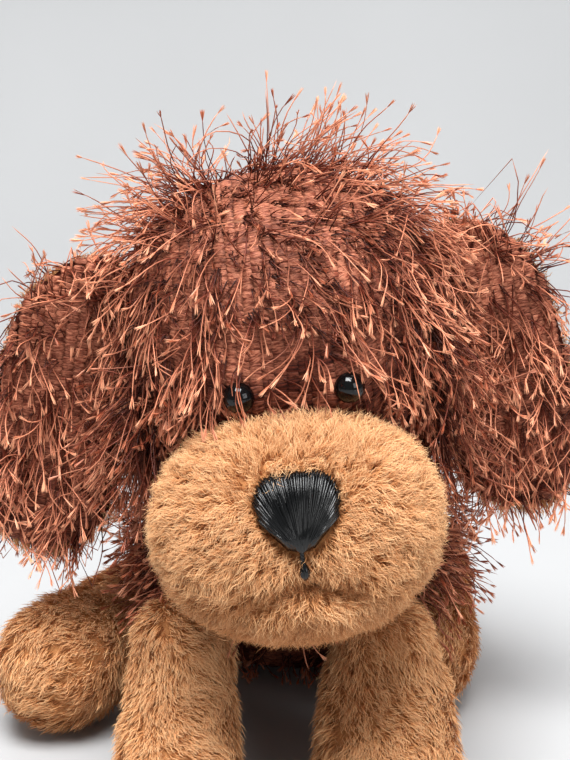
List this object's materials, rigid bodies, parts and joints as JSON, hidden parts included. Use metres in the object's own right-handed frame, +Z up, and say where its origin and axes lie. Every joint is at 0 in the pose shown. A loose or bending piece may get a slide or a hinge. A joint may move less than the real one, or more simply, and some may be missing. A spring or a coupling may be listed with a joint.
{
  "type": "plush dog",
  "caption": "Sitting stuffed toy dog with hanging ears, a round plush muzzle and a shaggy knitted coat; head, ears, legs and tail move at their seams.",
  "frame": {"origin": "middle of the flat seat under the rump, on the floor", "axes": "-Y the way the dog faces, +X its left side, +Z up"},
  "size_m": [0.2106, 0.2148, 0.2038],
  "materials": {
    "knit": "dark red-brown knitted yarn with long copper strands",
    "plush": "tan short-pile plush",
    "stuffing": "white polyester fibre fill",
    "pouch": "plain woven bag of plastic pellets",
    "nose_thread": "black satin stitch",
    "eye": "polished black",
    "washer": "natural white"
  },
  "bodies": {
    "torso": {"torso_cover": "knit", "torso_stuffing": "stuffing", "pellet_pouch": "pouch"},
    "neck": {"neck_wad": "stuffing"},
    "head": {"head_cover": "knit", "head_stuffing": "stuffing", "muzzle_cover": "plush", "muzzle_stuffing": "stuffing", "nose": "nose_thread", "mouth_stitch": "nose_thread", "left_eye": "eye", "right_eye": "eye", "left_eye_washer": "washer", "right_eye_washer": "washer"},
    "left_ear": {"left_ear_outer": "knit", "left_ear_lining": "plush"},
    "right_ear": {"right_ear_outer": "knit", "right_ear_lining": "plush"},
    "left_front_leg": {"left_front_leg_cover": "plush", "left_front_leg_stuffing": "stuffing"},
    "right_front_leg": {"right_front_leg_cover": "plush", "right_front_leg_stuffing": "stuffing"},
    "left_hind_leg": {"left_hind_leg_cover": "plush", "left_hind_leg_stuffing": "stuffing"},
    "right_hind_leg": {"right_hind_leg_cover": "plush", "right_hind_leg_stuffing": "stuffing"},
    "tail": {"tail_cover": "plush", "tail_stuffing": "stuffing"}
  },
  "joints": [
    {"name": "neck_turn", "type": "hinge", "parent": "torso", "child": "neck", "pos_m": [0, -0.044, 0.082], "axis": [0, 0, 1], "range_deg": [-20, 20], "stiffness_Nm_per_rad": 0.4},
    {"name": "neck_nod", "type": "hinge", "parent": "neck", "child": "head", "pos_m": [0, -0.044, 0.082], "axis": [1, 0, 0], "range_deg": [-20, 4], "stiffness_Nm_per_rad": 0.8},
    {"name": "left_ear_lift", "type": "hinge", "parent": "head", "child": "left_ear", "pos_m": [0.0576, -0.0555, 0.16428], "axis": [0.0436, -0.999, 0], "range_deg": [0, 75], "stiffness_Nm_per_rad": 0.03},
    {"name": "right_ear_lift", "type": "hinge", "parent": "head", "child": "right_ear", "pos_m": [-0.06979, -0.06106, 0.15313], "axis": [-0.0436, 0.999, 0], "range_deg": [0, 75], "stiffness_Nm_per_rad": 0.03},
    {"name": "left_front_leg_swing", "type": "hinge", "parent": "torso", "child": "left_front_leg", "pos_m": [0.0275, -0.079, 0.04], "axis": [1, 0, 0], "range_deg": [-25, 3], "stiffness_Nm_per_rad": 0.2},
    {"name": "right_front_leg_swing", "type": "hinge", "parent": "torso", "child": "right_front_leg", "pos_m": [-0.0365, -0.079, 0.04], "axis": [1, 0, 0], "range_deg": [-25, 3], "stiffness_Nm_per_rad": 0.2},
    {"name": "left_hind_leg_swing", "type": "hinge", "parent": "torso", "child": "left_hind_leg", "pos_m": [0.048, 0.008, 0.026], "axis": [0, 0, 1], "range_deg": [0, 45], "stiffness_Nm_per_rad": 0.2},
    {"name": "right_hind_leg_swing", "type": "hinge", "parent": "torso", "child": "right_hind_leg", "pos_m": [-0.048, -0.016, 0.026], "axis": [0, 0, -1], "range_deg": [0, 25], "stiffness_Nm_per_rad": 0.2},
    {"name": "tail_wag", "type": "hinge", "parent": "torso", "child": "tail", "pos_m": [0, 0.032, 0.034], "axis": [0, 0, 1], "range_deg": [-30, 30], "stiffness_Nm_per_rad": 0.02}
  ]
}
